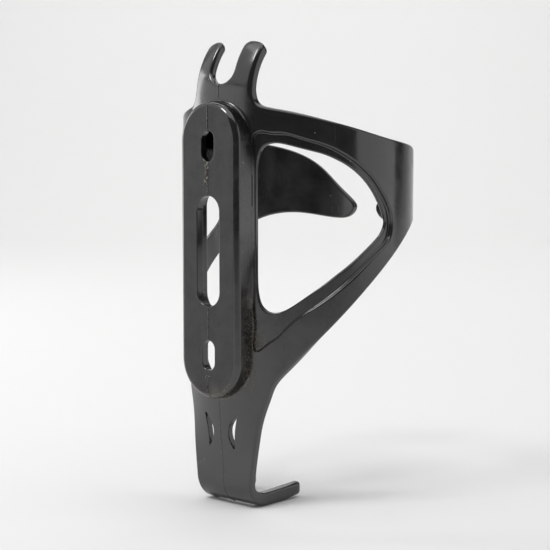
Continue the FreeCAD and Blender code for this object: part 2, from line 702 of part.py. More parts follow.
# ---------------------------------------------------------------------------
# Check every object and write one file per piece
# ---------------------------------------------------------------------------
for item in doc.Objects:
    if "Invalid" in item.State or "Error" in item.State:
        raise RuntimeError(f"{item.Name} is {item.State}")
pieces = [pad_body, spine, neck, tongue, foot] + right_parts + left_parts
for piece in pieces:
    shape = piece.Shape
    if shape.isNull() or not shape.isValid() or len(shape.Solids) != 1:
        raise RuntimeError(f"{piece.Label} isn't one valid solid")
    shape.exportStep(f"parts/{piece.Label}.step")
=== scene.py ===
import math

import bpy
import numpy as np
from mathutils import Matrix, Vector
from mathutils.geometry import delaunay_2d_cdt


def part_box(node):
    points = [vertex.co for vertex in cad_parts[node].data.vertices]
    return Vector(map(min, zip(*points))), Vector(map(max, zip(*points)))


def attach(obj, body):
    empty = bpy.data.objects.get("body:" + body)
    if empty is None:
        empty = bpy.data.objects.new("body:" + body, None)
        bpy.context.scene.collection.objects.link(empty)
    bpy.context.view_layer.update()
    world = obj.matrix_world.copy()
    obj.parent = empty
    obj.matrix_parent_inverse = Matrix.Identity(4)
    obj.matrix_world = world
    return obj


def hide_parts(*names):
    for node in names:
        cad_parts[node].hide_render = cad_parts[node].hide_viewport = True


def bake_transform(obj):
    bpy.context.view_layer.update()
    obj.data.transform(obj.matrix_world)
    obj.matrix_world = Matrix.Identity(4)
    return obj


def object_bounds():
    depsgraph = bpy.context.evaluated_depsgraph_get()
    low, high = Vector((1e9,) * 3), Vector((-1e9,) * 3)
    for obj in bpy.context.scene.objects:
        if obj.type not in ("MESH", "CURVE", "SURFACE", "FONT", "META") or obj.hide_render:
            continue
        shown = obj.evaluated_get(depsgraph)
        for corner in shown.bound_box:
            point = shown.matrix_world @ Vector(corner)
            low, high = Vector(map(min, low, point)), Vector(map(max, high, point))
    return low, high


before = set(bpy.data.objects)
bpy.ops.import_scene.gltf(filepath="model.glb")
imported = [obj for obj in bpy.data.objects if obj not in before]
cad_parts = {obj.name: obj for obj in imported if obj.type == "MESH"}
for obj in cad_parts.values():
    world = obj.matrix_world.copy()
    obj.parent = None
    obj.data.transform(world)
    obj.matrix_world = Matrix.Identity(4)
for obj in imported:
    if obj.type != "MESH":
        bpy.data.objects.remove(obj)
cad_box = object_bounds()
MM = 0.001

# ---------------------------------------------------------------------------
# The studio: a camera behind the cage and to its right, looking slightly down,
# a pale sweep of paper for floor and background, and soft white lights.
# ---------------------------------------------------------------------------
scene = bpy.context.scene
scene.view_settings.view_transform = "Standard"

camera = bpy.data.objects.new("camera", bpy.data.cameras.new("camera"))
scene.collection.objects.link(camera)
camera.data.sensor_width = 36.0
camera.data.lens = 36.0 * 1572.42 / 550
turn, height, roll = math.radians(42.131), math.radians(5.628), math.radians(-0.041)
right = Vector((math.cos(turn), math.sin(turn), 0))
back = Vector((math.sin(turn) * math.cos(height), -math.cos(turn) * math.cos(height), math.sin(height)))
facing = Matrix((right, back.cross(right), back)).transposed().to_4x4()
camera.matrix_world = (
    Matrix.Translation(Vector((335.30, -340.18, 39.79)) * MM) @ facing @ Matrix.Rotation(roll, 4, "Z")
)
camera.data.clip_start, camera.data.clip_end = 0.01, 20
scene.camera = camera


def linear(code):
    """An sRGB hex colour as linear red, green and blue."""
    parts = [int(code[i : i + 2], 16) / 255 for i in (1, 3, 5)]
    return [c / 12.92 if c <= 0.04045 else ((c + 0.055) / 1.055) ** 2.4 for c in parts]


def node(tree, kind, settings=None, **links):
    """Adds a node. settings are its properties or socket values, and links feed its sockets."""
    made = tree.nodes.new(kind)
    for name, value in (settings or {}).items():
        if isinstance(name, str) and hasattr(made, name) and name not in made.inputs:
            setattr(made, name, value)
        else:
            made.inputs[name].default_value = value
    for name, source in links.items():
        place = int(name[2:]) if name.startswith("in") and name[2:].isdigit() else name.replace("_", " ")
        tree.links.new(source, made.inputs[place])
    return made


def new_material(name):
    """An empty material with its shader, its output and object coordinates in metres."""
    material = bpy.data.materials.new(name)
    material.use_nodes = True
    tree = material.node_tree
    tree.nodes.clear()
    shader = node(tree, "ShaderNodeBsdfPrincipled")
    node(tree, "ShaderNodeOutputMaterial", Surface=shader.outputs["BSDF"])
    place = node(tree, "ShaderNodeTexCoord").outputs["Object"]
    return material, tree, shader, place


def mesh_object(name, points, faces, material):
    mesh = bpy.data.meshes.new(name)
    mesh.from_pydata(points, [], faces)
    mesh.materials.append(material)
    made = bpy.data.objects.new(name, mesh)
    scene.collection.objects.link(made)
    return made


# matt seamless paper, which gives an even pale tone with soft shadows
paper, tree, shader, place = new_material("seamless_paper")
shader.inputs["Base Color"].default_value = (*linear("#f1f1f0"), 1)
shader.inputs["Roughness"].default_value = 0.9
# the paper's tooth, about 1.1 mm, coarser than the real one
fibre = node(tree, "ShaderNodeTexNoise", {"Scale": 900.0, "Detail": 3.0}, Vector=place)
grain = node(tree, "ShaderNodeBump", {"Strength": 0.05, "Distance": 0.0001}, Height=fibre.outputs["Fac"])
tree.links.new(grain.outputs["Normal"], shader.inputs["Normal"])

FLOOR_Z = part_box("foot_fork")[0][2]
SWEEP_R, SWEEP_NEAR, SWEEP_BACK, SWEEP_TALL, SWEEP_HALF = 0.6, -0.75, 1.0, 2.0, 1.8
SWEEP_STEPS = 16
sweep = [(SWEEP_NEAR, 0.0)]
for i in range(SWEEP_STEPS + 1):
    a = math.radians(i * 90 / SWEEP_STEPS)
    sweep.append((SWEEP_BACK + SWEEP_R * math.sin(a), SWEEP_R * (1 - math.cos(a))))
sweep.append((SWEEP_BACK + SWEEP_R, SWEEP_TALL))
away = Vector((-back.x, -back.y, 0)).normalized()
points, faces = [], []
for i, (out, up) in enumerate(sweep):
    for across in (-SWEEP_HALF, SWEEP_HALF):
        points.append(away * out + right * across + Vector((0, 0, FLOOR_Z + up)))
    if i:
        faces.append((2 * i - 2, 2 * i - 1, 2 * i + 1, 2 * i))
backdrop = mesh_object("paper_sweep", points, faces, paper)
for polygon in backdrop.data.polygons:
    polygon.use_smooth = True

world = bpy.data.worlds.new("studio")
world.use_nodes = True
world.node_tree.nodes["Background"].inputs["Color"].default_value = (*linear("#dfe1e4"), 1)
world.node_tree.nodes["Background"].inputs["Strength"].default_value = 0.12
scene.world = world

# each light: its bearing and height in degrees, distance and size in metres, and watts
aim = Vector(((cad_box[0][0] + cad_box[1][0]) / 2, (cad_box[0][1] + cad_box[1][1]) / 2, 0.0))
for name, bearing, lift, distance, wide, tall, watts in (
    ("overhead_light", 60, 80, 1.30, 1.60, 1.20, 7.5),
    ("window_light", 125, 16, 1.00, 1.00, 0.80, 1.9),
    ("fill_light", -47, 7, 0.90, 1.30, 0.36, 1.4),
    ("strip_light", -78, 8, 0.80, 0.22, 0.40, 0.9),
    ("sky_light", -47, 42, 0.90, 1.30, 0.72, 2.2),
    ("key_light", -8, 58, 0.90, 0.22, 0.22, 2.1),
    ("paper_light", -138, 62, 1.50, 1.60, 0.40, 12.2),
):
    light = bpy.data.lights.new(name, "AREA")
    light.shape, light.size, light.size_y, light.energy = "RECTANGLE", wide, tall, watts
    lamp = bpy.data.objects.new(name, light)
    a, e = math.radians(bearing), math.radians(lift)
    out = Vector((math.sin(a) * math.cos(e), -math.cos(a) * math.cos(e), math.sin(e)))
    lamp.location = aim + out * distance
    towards = out if name != "paper_light" else lamp.location - (aim + away * 1.6 + Vector((0, 0, 0.45)))
    lamp.rotation_euler = towards.to_track_quat("Z", "Y").to_euler()
    lamp.visible_camera = False
    scene.collection.objects.link(lamp)


# ---------------------------------------------------------------------------
# The shell: one injection-moulded sheet of black plastic, drawn flat and then
# wrapped round the bottle. The spine, neck, tongue, foot and both arms are cut
# from it, so that their surfaces run on into each other without a seam.
# ---------------------------------------------------------------------------
SHELL_R, WALL, STAND = 37.0, 2.6, 4.75
AXIS_Y = STAND + SHELL_R
LEAN_FROM, LEAN_R, NECK_WALL = 46.8, 25.0, 3.1
FLAT_FROM, FLAT_AT, FOOT_BACK = -48.0, -71.8, 6.3
BEND_FROM, BEND_R, PRONG_WALL = -71.8, 8.0, 4.2
PRONG_LIFT = 0.0033  # the prongs curve up by this times their length squared
SQUARE_UNTIL, RADIAL_FROM = 30.0, 62.0  # degrees over which the side faces turn radial


def ease(value, low, high):
    """A smooth step from 0 at low to 1 at high."""
    t = np.clip((np.asarray(value, float) - low) / (high - low), 0, 1)
    return t * t * (3 - 2 * t)


def wall_at(z):
    """The sheet's thickness at a flat height: thicker in the neck and in the foot."""
    return (
        WALL
        + (NECK_WALL - WALL) * ease(z, 44.5, 48.0)
        + (PRONG_WALL - WALL) * ease(-np.asarray(z, float), -BEND_FROM + 1.5, -BEND_FROM + 9.0)
    )


def wrap(flat):
    """Flat points (along, height, depth below the back) in mm as points of the part in mm."""
    s, z, d = flat[:, 0], flat[:, 1], flat[:, 2]
    angle, r = s / SHELL_R, SHELL_R - d
    square = 1 - ease(np.abs(np.degrees(angle)), SQUARE_UNTIL, RADIAL_FROM)
    sideways = np.clip(SHELL_R * np.sin(np.clip(angle, -1.5, 1.5)) / r, -1, 1)
    angle = angle + square * (np.arcsin(sideways) - angle)
    x, y = r * np.sin(angle), AXIS_Y - r * np.cos(angle)
    # the plate becomes flat towards the foot
    level = ease(-z, -FLAT_FROM, -FLAT_AT)
    y = y + level * (FOOT_BACK + d - y)
    # the neck leans forward round a level line in front of it
    phi = np.maximum(z - LEAN_FROM, 0) / LEAN_R
    arm = y - (STAND + LEAN_R)
    leaning = z > LEAN_FROM
    z_neck = LEAN_FROM - arm * np.sin(phi)
    y = np.where(leaning, STAND + LEAN_R + arm * np.cos(phi), y)
    # the foot bends forward under the bottle
    quarter = BEND_R * math.pi / 2
    beta = np.clip(BEND_FROM - z, 0, quarter) / BEND_R
    ahead = np.maximum(BEND_FROM - quarter - z, 0)
    reach = BEND_R - (y - FOOT_BACK)
    bent = z < BEND_FROM
    z_foot = BEND_FROM - reach * np.sin(beta) + PRONG_LIFT * ahead**2
    y = np.where(bent, FOOT_BACK + BEND_R - reach * np.cos(beta) + ahead, y)
    z = np.where(leaning, z_neck, np.where(bent, z_foot, z))
    return np.stack([x, y, z], axis=1)


def turned_normals(place_of, flat, normals):
    """Directions in flat drawing space turned to directions on the part, as surfaces turn."""
    tangents = []
    for axis in range(3):
        shift = np.zeros(3)
        shift[axis] = 0.01
        tangents.append(place_of(flat + shift) - place_of(flat - shift))
    along, up, deep = tangents
    turned = (
        normals[:, 0:1] * np.cross(up, deep)
        + normals[:, 1:2] * np.cross(deep, along)
        + normals[:, 2:3] * np.cross(along, up)
    )
    turned *= np.sign(np.einsum("ij,ij->i", along, np.cross(up, deep)))[:, None]
    return turned / np.linalg.norm(turned, axis=1)[:, None]


def through(stations, closed=False):
    """A dense smooth line through the stations, a cubic spline timed by distance."""
    p = np.array(stations, float)
    if closed:
        p = np.vstack([p[-4:], p, p[:5]])
    t = np.concatenate([[0], np.cumsum(np.linalg.norm(np.diff(p, axis=0), axis=1))])
    h, n = np.diff(t), len(p)
    matrix, rhs = np.eye(n), np.zeros_like(p)
    for i in range(1, n - 1):
        matrix[i, i - 1 : i + 2] = h[i - 1], 2 * (h[i - 1] + h[i]), h[i]
        rhs[i] = 6 * ((p[i + 1] - p[i]) / h[i] - (p[i] - p[i - 1]) / h[i - 1])
    bend = np.linalg.solve(matrix, rhs)
    line = []
    for i in range(4, n - 5) if closed else range(n - 1):
        u = np.linspace(0, 1, 24, endpoint=False)[:, None]
        a, b = 1 - u, u
        line.append(
            a * p[i] + b * p[i + 1] + h[i] ** 2 / 6 * ((a**3 - a) * bend[i] + (b**3 - b) * bend[i + 1])
        )
    return np.vstack(line + ([] if closed else [p[-1:]]))


def arc(centre, radius, start, stop):
    a = np.radians(np.linspace(start, stop, 33))
    return np.stack([centre[0] + radius * np.cos(a), centre[1] + radius * np.sin(a)], axis=1)


def even_loop(line, step):
    """A closed line resampled evenly, running so that the material is on its left."""
    line = line[np.concatenate([[True], np.linalg.norm(np.diff(line, axis=0), axis=1) > 1e-6])]
    if np.linalg.norm(line[0] - line[-1]) > 1e-6:
        line = np.vstack([line, line[:1]])
    t = np.concatenate([[0], np.cumsum(np.linalg.norm(np.diff(line, axis=0), axis=1))])
    count = int(t[-1] / step)
    at = np.linspace(0, t[-1], count, endpoint=False)
    return np.stack([np.interp(at, t, line[:, 0]), np.interp(at, t, line[:, 1])], axis=1)


def signed_area(loop):
    x, y = loop[:, 0], loop[:, 1]
    return 0.5 * np.sum(x * np.roll(y, -1) - y * np.roll(x, -1))


def inside(points, loop):
    """Which of the points lie inside a closed loop."""
    a, b = loop, np.roll(loop, -1, axis=0)
    px, py = points[:, 0:1], points[:, 1:2]
    crosses = (a[:, 1] > py) != (b[:, 1] > py)
    rise = np.where(b[:, 1] == a[:, 1], 1e-12, b[:, 1] - a[:, 1])
    x = a[:, 0] + (py - a[:, 1]) * (b[:, 0] - a[:, 0]) / rise
    return np.sum(crosses & (px < x), axis=1) % 2 == 1


class Sheet:
    """A flat sheet's surface: rings of points that follow its edges, and faces between them."""

    def __init__(self):
        self.points, self.normals, self.faces = [], [], []

    def add(self, points, normals):
        first = len(self.points)
        self.points.extend(points)
        self.normals.extend(normals)
        return list(range(first, first + len(points)))

    def edge(self, loop, profile):
        """Rings round a loop with the material on its left.

        Each ring's profile is its offset inward, its depth, and its normal's inward and deep parts."""
        ahead = np.roll(loop, -1, axis=0) - np.roll(loop, 1, axis=0)
        ahead /= np.linalg.norm(ahead, axis=1)[:, None]
        inward = np.stack([-ahead[:, 1], ahead[:, 0]], axis=1)
        rings = []
        for into, depth, n_in, n_deep in profile:
            flat = loop + inward * np.reshape(into, (-1, 1))
            depth = np.broadcast_to(depth, len(loop))
            n_in, n_deep = np.broadcast_to(n_in, len(loop)), np.broadcast_to(n_deep, len(loop))
            rings.append(
                self.add(
                    np.column_stack([flat, depth]),
                    np.column_stack([inward * n_in[:, None], n_deep]),
                )
            )
        count = len(loop)
        for above, below in zip(rings, rings[1:]):
            for i in range(count):
                j = (i + 1) % count
                self.faces.append((above[i], below[i], below[j], above[j]))
        return rings

    def fill(self, outer, holes, depth_of, spacing, facing_out):
        """Fills between rings of points, which become the edges of this face."""
        flat = np.array(self.points)[:, :2]
        loops = [np.array(ring) for ring in [outer] + holes]
        edge_points = np.vstack([flat[ring] for ring in loops])
        low, high = edge_points.min(axis=0), edge_points.max(axis=0)
        xs = np.arange(low[0], high[0], spacing)
        zs = np.arange(low[1], high[1], spacing * 0.866)
        grid = np.array([(x + (spacing / 2 if k % 2 else 0), z) for k, z in enumerate(zs) for x in xs])
        keep = inside(grid, flat[loops[0]])
        for ring in loops[1:]:
            keep &= ~inside(grid, flat[ring])
        grid = grid[keep]
        clear = np.ones(len(grid), bool)
        for start in range(0, len(grid), 2000):
            part = grid[start : start + 2000]
            gap = np.linalg.norm(part[:, None] - edge_points[None], axis=2).min(axis=1)
            clear[start : start + 2000] = gap > spacing * 0.55
        grid = grid[clear]
        ids = [int(i) for ring in loops for i in ring]
        sign = -1.0 if facing_out else 1.0
        added = self.add(
            np.column_stack([grid, np.broadcast_to(depth_of(grid), len(grid))]),
            np.tile([0, 0, sign], (len(grid), 1)),
        )
        every = np.vstack([edge_points, grid])
        edges, first = [], 0
        for ring in loops:
            n = len(ring)
            edges += [(first + i, first + (i + 1) % n) for i in range(n)]
            first += n
        found = delaunay_2d_cdt([Vector(p) for p in every], edges, [], 0, 1e-7, True)
        source = [group[0] if group else -1 for group in found[3]]
        table = ids + added
        tris = np.array([f for f in found[2] if len(f) == 3])
        places = np.array([tuple(v) for v in found[0]])
        middle = places[tris].mean(axis=1)
        keep = inside(middle, flat[loops[0]])
        for ring in loops[1:]:
            keep &= ~inside(middle, flat[ring])
        a, b, c = places[tris[:, 0]], places[tris[:, 1]], places[tris[:, 2]]
        turn = (b[:, 0] - a[:, 0]) * (c[:, 1] - a[:, 1]) - (b[:, 1] - a[:, 1]) * (c[:, 0] - a[:, 0])
        for tri, ccw in zip(tris[keep], turn[keep] > 0):
            one = [table[source[i]] for i in tri]
            # the outer side is seen along +depth, where a flat turn to the left runs outward
            self.faces.append(tuple(one if ccw == facing_out else one[::-1]))


def round_over(radius, steps=5):
    """The outer face's edge turning over into the wall."""
    for a in np.radians(np.linspace(0, 90, steps)):
        yield radius * (1 - np.sin(a)), radius * (1 - np.cos(a)), -np.sin(a), -np.cos(a)


def round_under(radius, wall, steps=5):
    """The wall turning in to the inner face at depth wall."""
    for b in np.radians(np.linspace(0, 90, steps)):
        yield radius * (1 - np.cos(b)), wall - radius * (1 - np.sin(b)), -np.cos(b), np.sin(b)


def cove(radius, depth, steps=4):
    """The wall curving out to a surface at the given depth, on the open side."""
    for c in np.radians(np.linspace(0, 90, steps)):
        yield -radius * (1 - np.cos(c)), depth - radius * (1 - np.sin(c)), -np.cos(c), -np.sin(c)


def mirrored(half):
    """A line from the middle out and back to the middle, closed with its mirror image."""
    other = half[::-1] * [-1, 1]
    return np.vstack([half, other[1:-1]])


def at_x(x):
    """The flat distance from the middle at which the sheet reaches x."""
    return SHELL_R * math.asin(x / SHELL_R)


def degrees_out(angle):
    return SHELL_R * math.radians(angle)


# the outline, from the notch between the ears round the right arm to the foot
NOTCH_HALF, NOTCH_Z, EAR_HALF, EAR_TOP, EAR_ROUND = 4.7, 51.0, 11.9, 66.9, 3.0
ear_z = EAR_TOP - EAR_ROUND
notch = arc((0, NOTCH_Z + NOTCH_HALF), NOTCH_HALF, -90, 0)
ear_side = EAR_HALF - EAR_ROUND
ear_tip = np.vstack(
    [
        arc((NOTCH_HALF + EAR_ROUND, ear_z), EAR_ROUND, 180, 90),
        arc((ear_side, ear_z), EAR_ROUND, 90, 0),
    ]
)
PRONG_OUT = 11.35
band = through(
    [
        (11.9, 60.0), (11.88, 56.0), (11.86, 52.0), (11.95, 48.8), (12.35, 46.5), (13.6, 44.7), (16.2, 43.7),
        (21.0, 42.8), (degrees_out(42), 41.6), (degrees_out(66), 38.0), (degrees_out(90), 34.3),
        (degrees_out(115), 32.0), (degrees_out(135.8), 29.2), (degrees_out(150.8), 24.2),
        (degrees_out(162.0), 17.3), (degrees_out(169.4), 13.1), (degrees_out(172.4), 10.4),
        (degrees_out(169.4), 7.3), (degrees_out(162.0), 6.3), (degrees_out(140.8), 7.9),
        (degrees_out(118), 6.3), (degrees_out(100), 0.3), (degrees_out(86), -6.3), (degrees_out(70), -15.2),
        (degrees_out(57), -23.0), (degrees_out(45), -30.0), (degrees_out(34.5), -36.5),
        (degrees_out(28.2), -41.4), (at_x(16.2), -45.2), (at_x(15.1), -48.6), (at_x(13.9), -53.4),
        (at_x(13.1), -59.5), (12.6, -65.5), (11.9, -71.5), (11.5, -76.5), (PRONG_OUT, -84.0),
        (PRONG_OUT, -95.0),
    ]
)
PRONG_END, PRONG_IN, GAP_Z, PRONG_ROUND, GAP_ROUND = -100.95, 7.9, -82.3, 1.68, 1.6
fork = np.vstack(
    [
        arc((PRONG_OUT - PRONG_ROUND, PRONG_END + PRONG_ROUND), PRONG_ROUND, 0, -90),
        arc((PRONG_IN + PRONG_ROUND, PRONG_END + PRONG_ROUND), PRONG_ROUND, -90, -180),
        arc((PRONG_IN - GAP_ROUND, GAP_Z - GAP_ROUND), GAP_ROUND, 0, 90),
        [(0, GAP_Z)],
    ]
)
outline = mirrored(np.vstack([notch, ear_tip, band, fork]))

# the window of the right arm: its open edge, and the larger line where the outer face stops
WINDOW_FRONT, WINDOW_Z = 90.4, 8.4
RISE, FALL = 24.5, 27.0
WINDOW_UPPER = (
    (0.37, 0.98), (0.46, 0.928), (0.60, 0.851), (0.735, 0.715), (0.85, 0.515), (0.94, 0.27), (0.985, 0.10),
)
WINDOW_LOWER = (
    (0.985, -0.085), (0.915, -0.215), (0.79, -0.401), (0.64, -0.611), (0.506, -0.778), (0.407, -0.913),
)
LIP_UPPER = (3.3, 3.25, 2.75, 2.0, 1.6, 1.3, 1.2)
LIP_FRONT = 1.7
LIP_LOWER = (2.4, 2.6, 3.3, 4.5, 5.0, 5.4)


def window_line(start, end, lips):
    """The window's edge between its straight back corners, or with its lips the larger outer line."""
    far = degrees_out(WINDOW_FRONT)
    front = LIP_FRONT * lips
    stations = zip(WINDOW_UPPER + WINDOW_LOWER, LIP_UPPER + LIP_LOWER)
    points = []
    for (along, up), lip in stations:
        tall = RISE if up > 0 else FALL
        lip = math.copysign(lip, up) * lips
        points.append((along * far + front * along**4, WINDOW_Z + up * tall + lip))
    points.insert(len(WINDOW_UPPER), (far + front, WINDOW_Z))
    return through(list(start) + points + list(end), closed=True)


BACK_LINE, LEDGE = at_x(12.03), 0.25
edge_s = BACK_LINE + LEDGE
window_edge = window_line(
    [(edge_s, 12.0), (edge_s, 18.0), (edge_s + 0.05, 24.0), (edge_s + 0.7, 28.9), (14.7, 31.6), (17.6, 32.8)],
    [(19.7, -18.2), (16.6, -18.3), (14.2, -16.6), (edge_s + 0.5, -13.6), (edge_s + 0.05, -9.0),
     (edge_s, -2.0), (edge_s, 5.0)],
    lips=0,
)
face_edge = window_line(
    [(BACK_LINE, 12.0), (BACK_LINE, 24.0), (BACK_LINE, 33.0), (BACK_LINE + 0.35, 35.4), (13.9, 36.1),
     (18.0, 35.8)],
    [(19.4, -26.1), (15.8, -28.7), (13.2, -30.3), (BACK_LINE + 0.1, -30.2), (BACK_LINE, -27.8),
     (BACK_LINE, -16.0), (BACK_LINE, -4.0), (BACK_LINE, 5.0)],
    lips=1,
)

# the two crescent slits in the tongue, and the long opening behind the pad
SLIT_TOP, SLIT_LOW = (6.9, -50.8), (5.5, -61.7)


def slit_side(bulge):
    """One side of a slit, an arc through its two ends that bulges towards the middle."""
    top, low = np.array(SLIT_TOP), np.array(SLIT_LOW)
    along = (low - top) / np.linalg.norm(low - top)
    aside = np.array([along[1], -along[0]])
    u = np.linspace(0.02, 0.98, 40)[:, None]
    return top + (low - top) * u + aside * bulge * 4 * u * (1 - u)


SLIT_BULGES = (0.5, 3.0)  # of the side away from the middle, and of the side near it
slit = np.vstack([slit_side(SLIT_BULGES[0]), slit_side(SLIT_BULGES[1])[::-1]])
SPINE_WINDOW_HALF, SPINE_WINDOW_END = 8.8, 40.0
centre = SPINE_WINDOW_END - SPINE_WINDOW_HALF
spine_window = np.vstack(
    [arc((0, centre), SPINE_WINDOW_HALF, 0, 180), arc((0, -centre), SPINE_WINDOW_HALF, 180, 360)]
)


def facing_left(line, step, hole):
    """The loop resampled, turned so that the material is on its left."""
    loop = even_loop(line, step)
    return loop[::-1] if (signed_area(loop) > 0) == hole else loop


STEP_DEPTH = WALL - 1.3  # how far the lip round a window lies below the outer face
EDGE_OVER, EDGE_UNDER, EDGE_SOFTER = 0.8, 0.7, 0.5
RING_STEP, SLIT_STEP, OPENING_STEP = 0.6, 0.3, 0.8
FACE_SPACING, LIP_SPACING = 1.3, 1.2
SOFT_OVER = 3.0  # the window's creases grow to their full radius over this length from the pad
shell = Sheet()
outline = facing_left(outline, RING_STEP, hole=False)
# the edges are rounder on the ears and on the ends of the prongs
softer = EDGE_SOFTER * ease(outline[:, 1], 44.5, 50.0) + EDGE_SOFTER * ease(-outline[:, 1], 94.0, 99.0)
rim = shell.edge(
    outline,
    list(round_over(EDGE_OVER + softer, 7))
    + list(round_under(EDGE_UNDER + softer, wall_at(outline[:, 1]), 7)),
)
out_holes, in_holes = [], []
for side in (1, -1):
    face_loop = facing_left(face_edge * [side, 1], RING_STEP, hole=True)
    open_loop = facing_left(window_edge * [side, 1], RING_STEP, hole=True)
    soft = ease(np.abs(face_loop[:, 0]), BACK_LINE + 0.1, BACK_LINE + SOFT_OVER)
    crease, nook = 0.03 + 0.67 * soft, 0.06 + 0.44 * soft
    step = shell.edge(face_loop, list(round_over(crease)) + list(cove(nook, STEP_DEPTH)))
    soft = ease(np.abs(open_loop[:, 0]), edge_s, edge_s + SOFT_OVER)
    lip = shell.edge(
        open_loop,
        [(i, STEP_DEPTH + d, n, m) for i, d, n, m in round_over(0.1 + 0.38 * soft)]
        + list(round_under(0.4, WALL)),
    )
    shell.fill(step[-1], [lip[0]], lambda p: STEP_DEPTH, LIP_SPACING, facing_out=True)
    out_holes.append(step[0])
    in_holes.append(lip[-1])
    slit_loop = facing_left(slit * [side, 1], SLIT_STEP, hole=True)
    rings = shell.edge(slit_loop, list(round_over(0.3, 4)) + list(round_under(0.9, WALL, 5)))
    out_holes.append(rings[0])
    in_holes.append(rings[-1])
rings = shell.edge(
    facing_left(spine_window, OPENING_STEP, hole=True),
    list(round_over(0.05, 2)) + list(round_under(0.5, WALL)),
)
out_holes.append(rings[0])
in_holes.append(rings[-1])
shell.fill(rim[0], out_holes, lambda p: 0.0, FACE_SPACING, facing_out=True)
shell.fill(rim[-1], in_holes, lambda p: wall_at(p[:, 1]), FACE_SPACING, facing_out=False)
flat_points, flat_normals = np.array(shell.points), np.array(shell.normals)

# Gloss black polypropylene straight from a polished mould: a clear reflection that ripples a little,
# with clouds of duller polish, handling scratches, lint and tan dust packed into the corners.
gloss, tree, shader, place = new_material("moulded_polypropylene_gloss")
shader.inputs["IOR"].default_value = 1.5
shader.inputs["Specular IOR Level"].default_value = 1.0
# the polish: ripples about 1.7 mm long and clouds about 9 mm across
ripple = node(tree, "ShaderNodeTexNoise", {"Scale": 600.0, "Detail": 1.0}, Vector=place)
clouds = node(tree, "ShaderNodeTexNoise", {"Scale": 110.0, "Detail": 5.0, "Roughness": 0.62}, Vector=place)
polish = node(
    tree, "ShaderNodeMapRange", {"From Min": 0.35, "From Max": 0.72, "To Min": 0.1, "To Max": 0.27},
    Value=clouds.outputs["Fac"],
)
# scratches 0.4 mm wide, coarser than real ones so that they show, and up to 12 mm long
slant = node(
    tree, "ShaderNodeMapping", {"Rotation": (0.5, 0.35, 0.2), "Scale": (2500.0, 2500.0, 80.0)}, Vector=place
)
streaks = node(tree, "ShaderNodeTexNoise", {"Scale": 1.0, "Detail": 1.0}, Vector=slant.outputs["Vector"])
scratch = node(
    tree, "ShaderNodeMapRange", {"From Min": 0.7, "From Max": 0.8}, Value=streaks.outputs["Fac"]
)
# lint: specks about 0.3 mm across, one in a few cells of 3.5 mm
cells = node(tree, "ShaderNodeTexVoronoi", {"Scale": 285.0}, Vector=place)
speck = node(
    tree, "ShaderNodeMapRange", {"From Min": 0.03, "From Max": 0.055, "To Min": 1.0, "To Max": 0.0},
    Value=cells.outputs["Distance"],
)
chance = node(
    tree, "ShaderNodeMapRange", {"From Min": 0.62, "From Max": 0.64}, Value=cells.outputs["Color"]
)
lint = node(
    tree, "ShaderNodeMath", {"operation": "MULTIPLY"},
    in0=speck.outputs["Result"], in1=chance.outputs["Result"],
)
# dust: clings in grains of about 0.8 mm where the piece's own "dust" attribute says
held = node(tree, "ShaderNodeAttribute", {"attribute_name": "dust"})
grains = node(tree, "ShaderNodeTexNoise", {"Scale": 1300.0, "Detail": 3.0}, Vector=place)
patchy = node(
    tree, "ShaderNodeMapRange", {"From Min": 0.42, "From Max": 0.66}, Value=grains.outputs["Fac"]
)
dust = node(
    tree, "ShaderNodeMath", {"operation": "MULTIPLY"}, in0=held.outputs["Fac"], in1=patchy.outputs["Result"]
)
tone = node(
    tree, "ShaderNodeMixRGB", {"Color1": (*linear("#1a1918"), 1), "Color2": (*linear("#a39d92"), 1)},
    Fac=lint.outputs["Value"],
)
tone = node(
    tree, "ShaderNodeMixRGB", {"Color2": (*linear("#6c5f4a"), 1)},
    Fac=dust.outputs["Value"], Color1=tone.outputs["Color"],
)
tree.links.new(tone.outputs["Color"], shader.inputs["Base Color"])
rough = node(
    tree, "ShaderNodeMath", {"operation": "MULTIPLY_ADD", 1: 0.16},
    in0=scratch.outputs["Result"], in2=polish.outputs["Result"],
)
rough = node(
    tree, "ShaderNodeMath", {"operation": "MULTIPLY_ADD", 1: 0.6},
    in0=dust.outputs["Value"], in2=rough.outputs["Value"],
)
tree.links.new(rough.outputs["Value"], shader.inputs["Roughness"])
bump = node(
    tree, "ShaderNodeBump", {"Strength": 0.16, "Distance": 0.00006}, Height=ripple.outputs["Fac"]
)
bump = node(
    tree, "ShaderNodeBump", {"Strength": 0.25, "Distance": 0.00002, "invert": True},
    Height=scratch.outputs["Result"], Normal=bump.outputs["Normal"],
)
tree.links.new(bump.outputs["Normal"], shader.inputs["Normal"])


def hold_dust(made, amounts):
    """Stores how much dust each of the piece's points holds, from 0 to 1."""
    made.data.attributes.new("dust", "FLOAT", "POINT").data.foreach_set("value", amounts)


def shell_dust(flat):
    """Dust lies in the slits, in the corners of the windows and beside the pad."""
    s, z, d = np.abs(flat[:, 0]), flat[:, 1], flat[:, 2]
    slits = np.concatenate([slit_side(bulge) for bulge in SLIT_BULGES])
    gap = np.hypot(s[:, None] - slits[:, 0], z[:, None] - slits[:, 1]).min(axis=1)
    in_slit = 0.55 * ease(-gap, -1.6, -0.2) * ease(d, -0.1, 0.8)
    beside = 0.7 * ease(-np.abs(s - BACK_LINE - 0.3), -1.1, -0.3)
    beside = beside * ease(-z, 8.0, 26.0) * ease(z, -48.0, -42.0)
    corner = 0.8 * ease(-np.hypot(s - 13.2, z + 27.0), -5.0, -1.0) * ease(d, 0.2, 1.0)
    return np.clip(in_slit + 0.45 * (beside + corner), 0, 1)


